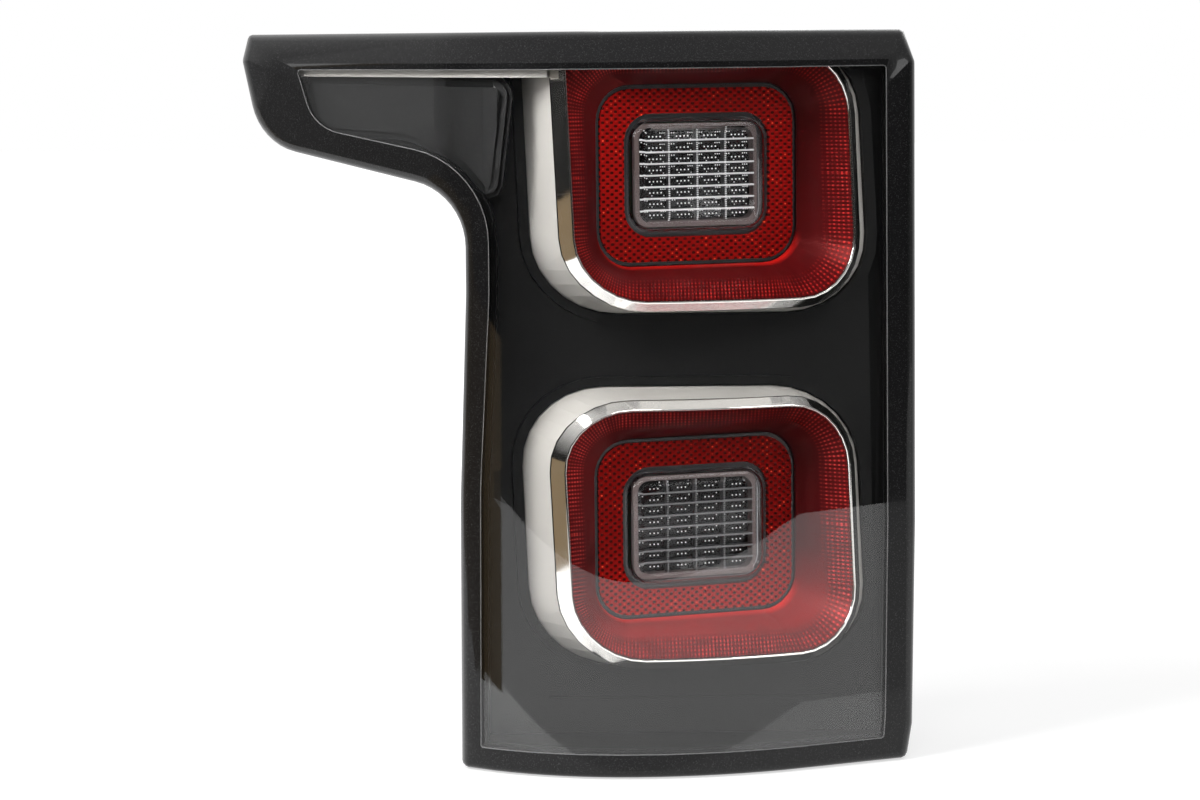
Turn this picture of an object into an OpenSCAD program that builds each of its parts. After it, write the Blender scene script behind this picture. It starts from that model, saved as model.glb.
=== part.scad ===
// Tail light cluster of a large off-road car: a tall rear corner lamp with a wing that wraps round the
// side of the car. Two square light units with silver surrounds stand in a dark bezel behind a clear
// window with a black border. X runs to the right, Y into the car, Z up.
// The origin is the middle of the two fixing studs, on the plane where the housing meets the car.

/* [Overall] */
// Height of the lamp
lamp_h = 430; // [400:5:460]
// Width of the tall body, without the wing
body_w = 268; // [258:2:290]
// How far the wing reaches past the body's left side
wing_reach = 137.5; // [120:2.5:160]
// Drop of the wing's lower corner below the top edge
wing_drop = 67.6; // [62:0.2:76]
// Drop of the inner corner under the wing below the top edge
root_drop = 94.4; // [90:0.2:104]
// Depth of the lamp from the mounting plane to the lens face at the inner top corner
corner_depth = 40; // [37:0.5:50]

/* [Lens] */
// Radius of the bend towards the wing
left_r = 165; // [150:1:180]
// Radius of the bend towards the inner side
right_r = 240; // [220:1:280]
// Angle of the wing to the rear face
wing_angle = 45; // [40:0.5:48]
// Angle of the inner side to the rear face
side_angle = 24; // [20:0.5:28]
// How far the middle of the bend lies left of the origin
apex_shift = 33; // [25:1:40]
// Backward lean of the rear face
lean = 6; // [4:0.5:8]
// Height of the sloping band along the top
band_h = 18; // [14:1:20]
// Backward slope of that band
band_slope = 40; // [30:1:44]
// Thickness of the lens
lens_t = 3; // [2.4:0.2:3.4]
// Radius of the rolled outer edge of the border
roll_r = 4.5; // [3:0.5:5]
// Depth of the lens skirt behind the face
skirt_d = 16; // [13:1:18]
// Border width at the left side
border_l = 11.4; // [11:0.2:13]
// Border width at the right side
border_r = 17; // [15:0.5:20]
// Border width at the foot
border_b = 13.5; // [12:0.5:16]
// Border width below the sloping band
border_t = 3.4; // [2:0.2:5]
// Border width at the wing's tip
border_tip = 34; // [28:1:40]

/* [Housing] */
// Wall of the housing
wall = 2.2; // [1.8:0.1:2.6]
// Width of the groove that holds the lens foot
groove_w = 3.2; // [2.8:0.1:3.6]
// Depth of that groove
groove_d = 10.5; // [9:0.5:12]
// Thickness of the lens foot
foot_t = 2; // [1.6:0.1:2.4]
// Room between pieces that fit together
gap = 0.2; // [0.1:0.05:0.3]
// Gap between the housing floor and the mounting plane
floor_gap = 4; // [3:0.5:6]
// Room behind the lens foot at the tip of the wing
wing_space = 3.2; // [2:0.2:6]
// Height of the ribs on the back
rib_h = 2.6; // [1.6:0.2:3]
// Distance between the ribs
rib_pitch = 38; // [30:1:48]

/* [Fixings] */
// Distance of each fixing stud from the lamp's end
stud_inset = 50; // [42:1:70]
// Radius of the studs
stud_r = 3; // [2.5:0.5:4]
// Length of the studs behind the mounting plane
stud_l = 24; // [16:1:32]
// Radius of the stud bosses
boss_r = 12; // [10:0.5:15]
// Radius of the locating pin
pin_r = 4; // [3:0.5:5]
// Length of the locating pin behind the mounting plane
pin_l = 18; // [12:1:24]

/* [Bezel] */
// Distance of the bezel face behind the front of the lens at the foot
bezel_depth = 55; // [52:1:58]
// Thickness of the bezel
bezel_t = 2.5; // [2:0.1:3]
// Height of the moulded lip round each light unit
lip_h = 2; // [1:0.2:3]
// Width of that lip
lip_w = 5.5; // [4:0.5:7]
// Depth of the wing shelf behind the lens face
shelf_d = 14; // [12.5:0.5:16]

/* [Light units] */
// Turn of the light units, which face straight along the car
aim = 21; // [18:0.5:23]
// Dark band left of the lower bowl, up to the body's side
left_space = 61; // [56:0.5:66]
// Dark band right of the lower bowl, up to the body's side
right_space = 53; // [48:0.5:58]
// Dark band below the lower bowl
foot_space = 67; // [62:0.5:72]
// Dark band between the two bowls
unit_space = 63.5; // [58:0.5:70]
// Part of the lamp above the upper bowl
top_space = 13.5; // [10:0.5:16]
// Distance of the units' face behind the front of the lens at the foot
unit_depth = 65; // [62:0.5:68]
// Sideways step from the lower to the upper unit
unit_step = 2.8; // [0:0.2:5]
// Corner radius of the bowl's rim
bowl_r = 36; // [30:1:40]
// Depth of the rims behind the lens face
rim_d = 8.7; // [7.5:0.1:10]
// Width of the chrome rim
chrome_w = 6.2; // [5:0.2:8]
// Fall of the chrome rim towards its outer edge
chrome_fall = 4; // [2:0.5:5]
// Spread of the silver surround towards its foot
surround_draft = 4; // [2:0.5:5]
// Width of the red band between bowl rim and reflex ring, at the sides
bowl_side = 21; // [19:0.5:23]
// Width of the red band above and below the reflex ring
bowl_level = 20.5; // [18:0.5:22]
// Corner radius of the reflex ring
reflex_r = 19; // [14:1:24]
// Width of the reflex ring's sides
ring_side = 17.75; // [16:0.25:20]
// Height of the reflex ring's upper and lower part
ring_level = 17.25; // [15:0.25:19]
// Corner radius of the clear cap
cap_r = 14; // [10:1:18]
// How far the cap stands out of the reflex ring
cap_rise = 6; // [4:0.5:8]
// Dark gap between the ring and its neighbours
dark_gap = 2.6; // [2:0.2:3.4]
// Columns of cells
cell_cols = 4; // [3:1:5]
// Rows of cells
cell_rows = 8; // [6:1:9]
// Frame of the cap at the sides of the cells
cap_side = 6.95; // [6.4:0.05:8]
// Frame of the cap above and below the cells
cap_level = 5.75; // [5.2:0.05:7]
// Thickness of the bars between the cells
bar_t = 0.9; // [0.6:0.1:1.2]

/* [Control unit] */
// Width of the control unit on the back
driver_w = 96; // [80:2:110]
// Height of the control unit
driver_h = 62; // [50:2:76]
// Thickness of the control unit
driver_t = 15; // [12:1:20]
// Inner width of the connector socket
socket_w = 34; // [28:1:40]
// Inner height of the connector socket
socket_h = 13; // [10:1:16]
// Depth of the connector socket
socket_d = 14; // [11:1:18]

/* [Hidden] */
$fn = 48;

z_top = lamp_h/2;
z_bot = -lamp_h/2;
x_l = -body_w/2;
x_r = body_w/2;
x_tip = x_l - wing_reach;
apex_x = -apex_shift;
z_crease = z_top - band_h;
// How far the lens face falls back from its front at the foot to the inner top corner
face_fall = right_r*(1 - cos(side_angle)) + (x_r - apex_x - right_r*sin(side_angle))*tan(side_angle)
    + lamp_h*tan(lean) + band_h*(tan(band_slope) - tan(lean));
front_y = corner_depth + face_fall;
apex_y = -front_y;
bezel_y = front_y - bezel_depth;
// Heights where the outline's left side bends a little
side_low = z_bot + 155;
side_high = z_top - 153;
stud_pitch = lamp_h - 2*stud_inset;
// Sizes of the units, each piece within the one around it
bowl_w = (body_w - left_space - right_space)/cos(aim);
bowl_h = (lamp_h - foot_space - unit_space - top_space)/2;
reflex_w = bowl_w - 2*bowl_side;
reflex_h = bowl_h - 2*bowl_level;
cap_w = reflex_w - 2*ring_side;
cap_h = reflex_h - 2*ring_level;
grid_w = cap_w - 2*cap_side;
grid_h = cap_h - 2*cap_level;
cell_w = grid_w/cell_cols;
cell_h = grid_h/cell_rows;
unit_x = x_l + left_space + bowl_w/2*cos(aim);
unit_y = front_y - unit_depth;
unit_pitch = bowl_h + unit_space;
z_low = z_bot + foot_space + bowl_h/2;
z_up = z_low + unit_pitch;
// The units' places: x, y and z of the middle of the reflex ring's face, then the highest point of the rim
// and the radius of its corner next to the wing
low_c = [unit_x, -unit_y, z_low, z_low + bowl_h, bowl_r];
up_c = [unit_x + unit_step, -unit_y + unit_pitch*tan(lean), z_up, z_crease + 3, 6];
arc_steps_l = 12;
arc_steps_r = 8;
foot_in = wall + 2*gap;
groove_in = wall + gap;
tub_in = groove_in + groove_w;
seam_d = skirt_d + gap + 0.7;
foot_d = skirt_d + groove_d - 2;
channel_d = skirt_d + groove_d;
wing_back = wing_angle + 0.2;
// Depth of the shallower floor at the outer side, so that the wing's floor clears the lens foot
step_d = (x_l - x_tip)*tan(wing_back) - skin_y(x_tip, z_top, 0) - channel_d - wall - wing_space - floor_gap;
// A distance past the whole lamp, for cuts
reach_back = lamp_h + body_w + wing_reach;

function unit(v) = v/norm(v);
function mix(a, b, t) = a + (b - a)*t;

// The lens face in plan. plan_y gives the y of the face at x, moved inward by d, at the lamp's foot
function bend_y(dx, r0, r, a) =
    dx <= r*sin(a) ? apex_y + r0 - sqrt(r*r - dx*dx)
                   : apex_y + r0 - r*cos(a) + (dx - r*sin(a))*tan(a);
function plan_y(x, d) =
    x < apex_x ? bend_y(apex_x - x, left_r, left_r - d, wing_angle)
               : bend_y(x - apex_x, right_r, right_r - d, side_angle);
// The same anywhere on the lamp, with the lean and the sloping band
function skin_y(x, z, d) =
    plan_y(x, d) + (z - z_bot)*tan(lean) + max(0, z - z_crease)*(tan(band_slope) - tan(lean));
// The bezel's face: a flat leaning plane, and the wing shelf where the lens curves away behind it
function plane_y(z) = -bezel_y + (z - z_bot)*tan(lean);
function bezel_face_y(x, z) = max(plane_y(z), plan_y(x, shelf_d) + (z - z_bot)*tan(lean));

// The plan curve as points, from the wing to the right end
function plan_pts(d) = concat(
    [let (x = x_tip - 60) [x, plan_y(x, d)]],
    [for (i = [0:arc_steps_l]) let (a = wing_angle*(1 - i/arc_steps_l), r = left_r - d)
        [apex_x - r*sin(a), apex_y + left_r - r*cos(a)]],
    [for (i = [1:arc_steps_r]) let (a = side_angle*i/arc_steps_r, r = right_r - d)
        [apex_x + r*sin(a), apex_y + right_r - r*cos(a)]],
    [let (x = x_r + 40) [x, plan_y(x, d)]]);

// A closed path of corners [x, z, radius, steps], counter-clockwise, moved inward by d
function corner(a, b, c, d) =
    let (u = unit([b[0] - a[0], b[1] - a[1]]),
         v = unit([c[0] - b[0], c[1] - b[1]]),
         m = [-u[1], u[0]],
         n = [-v[1], v[0]],
         p = [b[0], b[1]] + d*(m + n)/(1 + m*n),
         side = u[0]*v[1] - u[1]*v[0] < 0 ? -1 : 1,
         turn = acos(min(1, u*v)),
         r = max(0.3, b[2] - d*side),
         s = p - u*r*tan(turn/2),
         e = -m*side*r)
    b[3] == 0 ? [p] :
    [for (j = [0:b[3]]) let (q = side*turn*j/b[3])
        s - e + [e[0]*cos(q) - e[1]*sin(q), e[0]*sin(q) + e[1]*cos(q)]];
function path(v, d = 0) = let (k = len(v))
    [for (i = [0:k - 1]) each corner(v[(i + k - 1) % k], v[i], v[(i + 1) % k], d)];

// Stations along the foot and the top, where the lens bends
stations = concat(
    [for (i = [0:arc_steps_l]) apex_x - left_r*sin(wing_angle*(1 - i/arc_steps_l))],
    [for (i = [1:arc_steps_r]) apex_x + right_r*sin(side_angle*i/arc_steps_r)],
    [x_r - 38]);
foot_stations = [for (x = stations) if (x > x_l + 16) x];
top_stations = [for (i = [len(stations) - 1:-1:0]) stations[i]];

// Outer corners of the lamp, seen from the rear
outline_v = concat(
    [[x_l - 1.5, z_bot, 4, 3]],
    [for (x = foot_stations) [x, z_bot, 0, 0]],
    [[x_r - 6.5, z_bot, 4, 2],
     [x_r - 2.8, z_bot + 20, 12, 2],
     [x_r + 0.5, z_bot + 140, 200, 2],
     [x_r + 3, z_crease - 2, 6, 2],
     [x_r - 3.2, z_top, 3, 2]],
    [for (x = top_stations) [x, z_top, 0, 0]],
    [[x_tip, z_top, 3, 2],
     [x_tip - 3.2, z_crease + 2, 6, 2],
     [x_tip + 9, z_top - wing_drop, 38, 8],
     [x_l + 3.8, z_top - root_drop, 38, 10],
     [x_l + 3.8, side_high, 120, 2],
     [x_l - 0.8, side_low, 300, 2]]);
// Corners of the clear window
z_win = z_crease - border_t;
window_v = concat(
    [[x_l - 1.5 + border_l, z_bot + border_b, 1.5, 3]],
    [for (x = foot_stations) [x, z_bot + border_b, 0, 0]],
    [[x_r - 3.4 - border_r, z_bot + border_b, 2, 2],
     [x_r - 2.2 - border_r, z_bot + border_b + 14, 40, 2],
     [x_r + 0.5 - border_r, z_bot + 140, 200, 2],
     [x_r + 2.4 - border_r, z_win - 12, 100, 2],
     [x_r + 2.4 - border_r, z_win, 2, 2]],
    [for (x = top_stations) [x, z_win, 0, 0]],
    [[x_tip + border_tip, z_win, 2, 2],
     [x_tip + border_tip + 3.2, z_win - 9, 30, 2],
     [x_tip + border_tip + 11.5, z_top - wing_drop + 10.4, 27, 8],
     [x_l + 6 + border_l, z_top - root_drop + 17, 54, 10],
     [x_l + 6 + border_l, side_high, 120, 2],
     [x_l - 0.2 + border_l, side_low + 10, 300, 2]]);
// The same two outlines without the points along the straight top and foot
outline_flat = [for (v = outline_v) if (v[3] > 0) v];
window_flat = [for (v = window_v) if (v[3] > 0) v];
// Corners of the raised panel in the wing
panel_v = [
    [x_l + 19, z_top - root_drop + 1, 2, 3],
    [x_l + 26.5, z_win - 11, 5, 4],
    [x_tip + border_tip + 11, z_win - 9, 3, 3],
    [x_tip + border_tip + 15.5, z_top - wing_drop + 10.2, 16, 6],
    [x_l - 30, z_top - wing_drop + 7.5, 60, 6],
    [x_l + 2, z_top - root_drop + 21, 30, 4]];

// A prism along Y over an outline in X and Z
module along_y(y0, y1) {
    translate([0, y1, 0]) rotate([90, 0, 0]) linear_extrude(y1 - y0) children();
}
// All that lies behind the plan curve moved inward by d, leaning back by t from height z0
module leaned(d, t, z0, shift) {
    translate([0, shift, z0]) rotate([-t, 0, 0]) translate([0, 0, -reach_back])
        linear_extrude(2*reach_back)
            polygon(concat([for (p = plan_pts(d)) [p[0], p[1]*cos(t)]],
                           [[x_r + 40, reach_back], [x_tip - 60, reach_back]]));
}
module behind(d) {
    intersection() {
        leaned(d, lean, z_bot, 0);
        leaned(d, band_slope, z_crease, (z_crease - z_bot)*tan(lean));
    }
}
module shell(d0, d1) {
    difference() {
        behind(d0);
        behind(d1);
    }
}
// All behind the flat bezel plane moved back by d
module behind_plane(d) {
    translate([0, -bezel_y + d, z_bot]) rotate([-lean, 0, 0])
        translate([-reach_back, 0, -reach_back]) cube([2*reach_back, reach_back, 2*reach_back]);
}

// Swept forms: rows of points, each row one closed loop with as many points as the others
function loop_faces(k, n, j0, j1) = [for (i = [0:n - 1]) let (h = (i + 1) % n)
    each [[j0*n + i, j1*n + h, j1*n + i], [j0*n + i, j0*n + h, j1*n + h]]];
module hoop(rows) {
    k = len(rows);
    n = len(rows[0]);
    polyhedron(points = [for (r = rows) each r],
               faces = [for (j = [0:k - 1]) each loop_faces(k, n, j, (j + 1) % k)], convexity = 8);
}
module stack(rows) {
    k = len(rows);
    n = len(rows[0]);
    polyhedron(points = [for (r = rows) each r],
               faces = concat([for (j = [0:k - 2]) each loop_faces(k, n, j, j + 1)],
                              [[for (i = [n - 1:-1:0]) i]],
                              [[for (i = [0:n - 1]) (k - 1)*n + i]]), convexity = 8);
}

// Lens
module lens_window() {
    color([0.8, 0.82, 0.84, 0.4])
        intersection() {
            shell(0, lens_t);
            along_y(-reach_back, reach_back) polygon(path(window_flat));
        }
}
// Rows of the border: each point of an outline moved inward by inset, at depth d behind the face
function border_row(inset, d) = [for (p = path(outline_v, inset)) [p[0], skin_y(p[0], p[1], d), p[1]]];
function window_row(d) = [for (p = path(window_v)) [p[0], skin_y(p[0], p[1], d), p[1]]];
function mid_row(inset, d) = let (a = path(window_v), b = path(outline_v, inset))
    [for (i = [0:len(a) - 1])
        let (t = a[i][1] > z_win - 1 ? (z_crease - a[i][1])/(b[i][1] - a[i][1]) : 0.5,
             p = mix(a[i], b[i], t))
        [p[0], skin_y(p[0], p[1], d), p[1]]];
module lens_border() {
    color([0.07, 0.07, 0.075])
        hoop([window_row(0), mid_row(roll_r, 0), border_row(roll_r, 0),
              border_row(roll_r*(1 - sin(30)), roll_r*(1 - cos(30))),
              border_row(roll_r*(1 - sin(60)), roll_r*(1 - cos(60))),
              border_row(0, roll_r), border_row(0, skirt_d), border_row(foot_in, skirt_d),
              border_row(foot_in, foot_d), border_row(foot_in + foot_t, foot_d),
              border_row(foot_in + foot_t, lens_t + roll_r),
              border_row(foot_in + foot_t + 0.8, lens_t),
              mid_row(foot_in + foot_t + 0.8, lens_t), window_row(lens_t)]);
}
module tube_2d(d0, d1) {
    difference() {
        polygon(path(outline_flat, d0));
        polygon(path(outline_flat, d1));
    }
}
module lens_seal() {
    color([0.12, 0.12, 0.12])
        intersection() {
            shell(foot_d + 1.2, channel_d - 0.05);
            along_y(-reach_back, reach_back) tube_2d(groove_in + 0.05, groove_in + groove_w - 0.05);
        }
}

// Housing: a channel that takes the lens foot, a deep tub and a ribbed back
step_x = x_l + 58;
function back_pts(d) = [
    [x_r + 30, -floor_gap - d],
    [step_x + 24 + d, -floor_gap - d],
    [step_x + d, -floor_gap - step_d - d],
    [x_l + d*tan(22.5), -floor_gap - step_d - d],
    [x_tip - 60, -floor_gap - step_d - d + (x_l - x_tip + 60)*tan(wing_back) - d*tan(22.5)*0]];
module before_back(d) {
    translate([0, 0, z_bot - 50]) linear_extrude(lamp_h + 100)
        polygon(concat(back_pts(d), [[x_tip - 60, -reach_back], [x_r + 30, -reach_back]]));
}
module in_unit(c) {
    translate([c[0], c[1], c[2]]) rotate([0, 0, aim]) children();
}
// A prism along a unit's own axis over an outline in its face
module slab(w0, w1) {
    translate([0, w1, 0]) rotate([90, 0, 0]) linear_extrude(w1 - w0) children();
}
module rod_y(x, z, y0, y1, r) {
    translate([x, y0, z]) rotate([-90, 0, 0]) cylinder(h = y1 - y0, r = r);
}
// The same with a tapered end
module peg_y(x, z, y0, y1, r, taper) {
    rod_y(x, z, y0, y1 - taper, r);
    translate([x, y1 - taper - 0.01, z]) rotate([-90, 0, 0]) cylinder(h = taper, r1 = r, r2 = r - taper*2/3);
}
module rod_w(u, z, w0, w1, r) {
    translate([u, w0, z]) rotate([-90, 0, 0]) cylinder(h = w1 - w0, r = r);
}
sink_w0 = 13.8;
sink_t = 3;
ear_u = grid_w/2 + 23.2;
ear_z = grid_h/2 - 6;
post_l = front_y + 20;
post_r = 4.5;
screw_r = 1.5;
stud_z = [stud_pitch/2, -stud_pitch/2];
pin_x = x_l + 30;
pin_z = z_bot + 60;
wing_pin_x = x_tip + 62;
wing_pin_z = z_top - 34;
vent_r = 6;
head_r = 3.4;
head_h = 2.4;
vents = [[x_r - 40, z_bot + 62], [x_r - 44, z_top - 54]];
driver_x = step_x + 38 + driver_w/2;
driver_z = 0;
function wing_floor_y(x) = -floor_gap - step_d + (x_l - x)*tan(wing_back);
bumper_at = [[x_r - 22, z_bot + 24], [x_r - 22, z_top - 24], [x_l + 22, z_bot + 22]];

module housing_walls() {
    // channel for the lens foot
    difference() {
        intersection() {
            shell(seam_d, channel_d + wall);
            along_y(-reach_back, reach_back) tube_2d(gap, tub_in + wall);
        }
        intersection() {
            shell(seam_d - 5, channel_d);
            along_y(-reach_back, reach_back) tube_2d(groove_in, tub_in);
        }
    }
    // tub
    difference() {
        intersection() {
            behind(channel_d + wall/2);
            before_back(0);
            along_y(-reach_back, reach_back) polygon(path(outline_flat, tub_in));
        }
        intersection() {
            before_back(wall);
            along_y(-reach_back, reach_back) polygon(path(outline_flat, tub_in + wall));
        }
    }
}
module back_ribs() {
    intersection() {
        union() {
            for (i = [-5:5])
                if (abs(i*rib_pitch - driver_z) > driver_h/2 + 6)
                    translate([step_x + 26, -floor_gap - 0.5, i*rib_pitch - 1])
                        cube([x_r - step_x - 42, rib_h + 0.5, 2]);
            for (x = [driver_x - driver_w/2 - 8, driver_x + driver_w/2 + 6])
                translate([x, -floor_gap - 0.5, z_bot + 16]) cube([2, rib_h + 0.5, lamp_h - 34]);
        }
        along_y(-reach_back, reach_back) polygon(path(outline_flat, tub_in + 4));
    }
    for (i = [0:4])
        translate([x_l + 10, -floor_gap - step_d - 0.5, z_bot + 34 + i*rib_pitch*1.3])
            cube([step_x - x_l - 14, rib_h + 0.5, 2]);
    // and along the back of the wing
    for (i = [0:2])
        translate([0, 0, z_top - 16 - i*rib_pitch/2])
            linear_extrude(2)
                polygon([for (x = [x_l - 6, x_tip + 26]) [x, wing_floor_y(x) - 0.5],
                         for (x = [x_tip + 26, x_l - 6]) [x, wing_floor_y(x) + rib_h/cos(wing_back)]]);
}
// Places of the control unit's four screws
module driver_corners() {
    for (i = [-1, 1])
        for (j = [-1, 1])
            translate([driver_x + i*(driver_w/2 - 5), 0, driver_z + j*(driver_h/2 - 5)]) children();
}
module bosses() {
    for (z = stud_z) {
        rod_y(0, z, -floor_gap - wall - 10, 0, boss_r);
        rod_y(0, z, -floor_gap - 1, -1.2, boss_r + 4.5);
    }
    rod_y(pin_x, pin_z, -floor_gap - step_d - 1, 0, pin_r + 4);
    rod_y(wing_pin_x, wing_pin_z, wing_floor_y(wing_pin_x) - 3, wing_floor_y(wing_pin_x) + 12, pin_r + 3.5);
    for (v = vents)
        rod_y(v[0], v[1], -floor_gap - 1, -floor_gap + 7, vent_r);
    for (b = bumper_at)
        rod_y(b[0], b[1], (b[0] < step_x ? -step_d : 0) - floor_gap - 1, -1.5, 7);
    // pads for the control unit's screws
    driver_corners()
        rod_y(0, 0, -floor_gap - wall - 8, -floor_gap - 0.5, 4.5);
}
module posts(c) {
    intersection() {
        in_unit(c)
            for (i = [-1, 1])
                for (j = [-1, 1])
                    rod_w(i*ear_u, j*ear_z, sink_w0 + sink_t + gap, post_l, post_r);
        before_back(wall/2);
    }
}
module housing() {
    color([0.13, 0.13, 0.14])
        difference() {
            union() {
                housing_walls();
                back_ribs();
                bosses();
                posts(low_c);
                posts(up_c);
            }
            for (z = stud_z) {
                rod_y(0, z, -floor_gap - wall - 9, 1, stud_r + 0.05);
                rod_y(0, z, -2.6, 1, stud_r + 2.5);
            }
            rod_y(pin_x, pin_z, -16, 1, pin_r - 1);
            rod_y(wing_pin_x, wing_pin_z, wing_floor_y(wing_pin_x), wing_floor_y(wing_pin_x) + 13, pin_r - 1);
            for (v = vents)
                rod_y(v[0], v[1], -floor_gap - wall - 2, -floor_gap + 8, vent_r - 2.5);
            for (c = [low_c, up_c])
                in_unit(c)
                    for (i = [-1, 1])
                        for (j = [-1, 1])
                            rod_w(i*ear_u, j*ear_z, sink_w0, sink_w0 + sink_t + 18, screw_r);
            driver_corners()
                rod_y(0, 0, -floor_gap - wall - 7, 0, screw_r);
        }
}

// Light units
// A rounded oblong as points [u, z], counter-clockwise from the lower left, cut off level at the top,
// with a radius of its own at the upper left
corner_steps = 7;
edge_steps = 6;
function quarter(u, z, r, q0) = [for (i = [0:corner_steps]) let (q = q0 + 90*i/corner_steps)
    [u + r*cos(q), z + r*sin(q)]];
function oblong(w, h, r, top, r_left) = let (a = w/2 - r, b = h/2 - r, e = w/2 - r_left)
    [for (p = concat(
        quarter(-a, -b, r, 180),
        [for (i = [1:edge_steps - 1]) [mix(-a, a, i/edge_steps), -h/2]],
        quarter(a, -b, r, 270),
        quarter(a, b, r, 0),
        [for (i = [1:edge_steps - 1]) [mix(a, -e, i/edge_steps), h/2]],
        quarter(-e, h/2 - r_left, r_left, 90)))
    [p[0], min(p[1], top)]];
// Depth w along a unit's axis at which its line through [u, z] meets the lens face moved inward by d,
// or the bezel's face if d is less than zero
function face_y(x, z, d) = d < 0 ? bezel_face_y(x, z) : plan_y(x, d) + (z - z_bot)*tan(lean);
function meet(c, u, z, d, w = 0, i = 0) = i > 9 ? w :
    let (x = c[0] + u*cos(aim) - w*sin(aim), y = c[1] + u*sin(aim) + w*cos(aim))
    meet(c, u, z, d, w + (face_y(x, c[2] + z, d) - y)/cos(aim)*0.9, i + 1);
function at_face(c, pts, d, back = 0) = [for (p = pts) [p[0], meet(c, p[0], p[1], d) + back, p[1]]];
function at_depth(pts, w) = [for (p = pts) [p[0], w, p[1]]];
function rim_pts(c, grow) =
    oblong(bowl_w + 2*grow, bowl_h + 2*grow, bowl_r + grow,
           c[3] - c[2] + min(grow, 0)*0.5 + max(grow, 0)*0.25, c[4] + grow);
function blend(a, b, t) = [for (i = [0:len(a) - 1]) mix(a[i], b[i], t)];
module oblong_2d(w, h, r) {
    polygon(oblong(w, h, r, h, r));
}

module chrome_rim(c) {
    color([0.85, 0.84, 0.82])
        in_unit(c)
            hoop([at_face(c, rim_pts(c, 0), rim_d),
                  at_face(c, rim_pts(c, 1), rim_d - 0.4),
                  at_face(c, rim_pts(c, chrome_w), rim_d + chrome_fall),
                  at_face(c, rim_pts(c, chrome_w), rim_d + chrome_fall, 2.5),
                  at_face(c, rim_pts(c, 0.8), rim_d + chrome_fall, 2.5),
                  at_face(c, rim_pts(c, 0), rim_d, 2)]);
}
module surround(c) {
    in_unit(c)
        hoop([at_face(c, rim_pts(c, chrome_w - 0.2), rim_d + chrome_fall, 2.7),
              at_face(c, rim_pts(c, chrome_w + surround_draft), -1, 1.2),
              at_face(c, rim_pts(c, chrome_w + surround_draft - 2.2), -1, 1.2),
              at_face(c, rim_pts(c, chrome_w - 2.4), rim_d + chrome_fall, 2.7)]);
}
module strip_2d() {
    polygon([[x_tip + border_tip + 3, z_win - 4.6], [x_l + 38, z_win - 5.2],
             [x_l + 38, z_win + 1.5], [x_tip + border_tip - 1, z_win + 1.5]]);
}
module lower_surround() {
    color([0.74, 0.73, 0.71]) surround(low_c);
}
module upper_surround() {
    color([0.74, 0.73, 0.71]) {
        surround(up_c);
        intersection() {
            shell(6.5, 12);
            along_y(-reach_back, reach_back) strip_2d();
        }
        // shoulder that joins the strip to the surround
        intersection() {
            shell(6.5, 21);
            along_y(-reach_back, reach_back)
                translate([x_l + 36.5, z_win - 5.2]) square([8.9, 6.7]);
        }
    }
}
module upper_chrome_rim() {
    chrome_rim(up_c);
}
module lower_chrome_rim() {
    chrome_rim(low_c);
}
module bowl(c) {
    rim = at_face(c, rim_pts(c, -0.3), rim_d + 0.8);
    throat_r = reflex_r + dark_gap;
    throat_2d = oblong(reflex_w + 2*dark_gap, reflex_h + 2*dark_gap, throat_r, reflex_h, throat_r);
    throat = at_depth(throat_2d, -0.4);
    // a flatter outer band, then a steeper fall to the reflex ring
    shelf = blend(rim, throat, 0.5);
    step = [for (i = [0:len(rim) - 1]) [shelf[i][0], mix(rim[i][1], throat[i][1], 0.36), shelf[i][2]]];
    color([0.45, 0.03, 0.04])
        in_unit(c)
            hoop([rim, step, throat,
                  [for (p = throat) [p[0], p[1] + 2, p[2]]],
                  [for (p = step) [p[0], p[1] + 2.2, p[2]]],
                  [for (p = rim) [p[0], p[1] + 2.2, p[2]]]]);
}
module upper_bowl() {
    bowl(up_c);
}
module lower_bowl() {
    bowl(low_c);
}
module reflex_ring(c) {
    color([0.75, 0.05, 0.05])
        in_unit(c)
            slab(0, 3)
                difference() {
                    oblong_2d(reflex_w, reflex_h, reflex_r);
                    oblong_2d(cap_w + 2*dark_gap, cap_h + 2*dark_gap, cap_r + dark_gap);
                }
}
module upper_reflex_ring() {
    reflex_ring(up_c);
}
module lower_reflex_ring() {
    reflex_ring(low_c);
}
module carrier(c) {
    color([0.06, 0.06, 0.065])
        in_unit(c)
            difference() {
                union() {
                    slab(3 + gap, 5.6)
                        oblong_2d(reflex_w + 4*dark_gap, reflex_h + 4*dark_gap, reflex_r + dark_gap);
                    slab(1.4, 4)
                        difference() {
                            oblong_2d(reflex_w + 3.6, reflex_h + 3.6, reflex_r + 1.3);
                            oblong_2d(reflex_w + 2*gap, reflex_h + 2*gap, reflex_r + gap);
                        }
                    for (i = [-1, 1])
                        for (j = [-1, 1])
                            rod_w(i*(grid_w/2 + 8), j*(grid_h/2 + 8), 5, sink_w0 - gap, 3.5);
                }
                slab(0, 8) oblong_2d(cap_w - 5, cap_h - 5, cap_r - 2.5);
            }
}
module upper_carrier() {
    carrier(up_c);
}
module lower_carrier() {
    carrier(low_c);
}
function cap_row(inset, w) =
    at_depth(oblong(cap_w - 2*inset, cap_h - 2*inset, cap_r - inset, cap_h, cap_r - inset), w);
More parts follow.
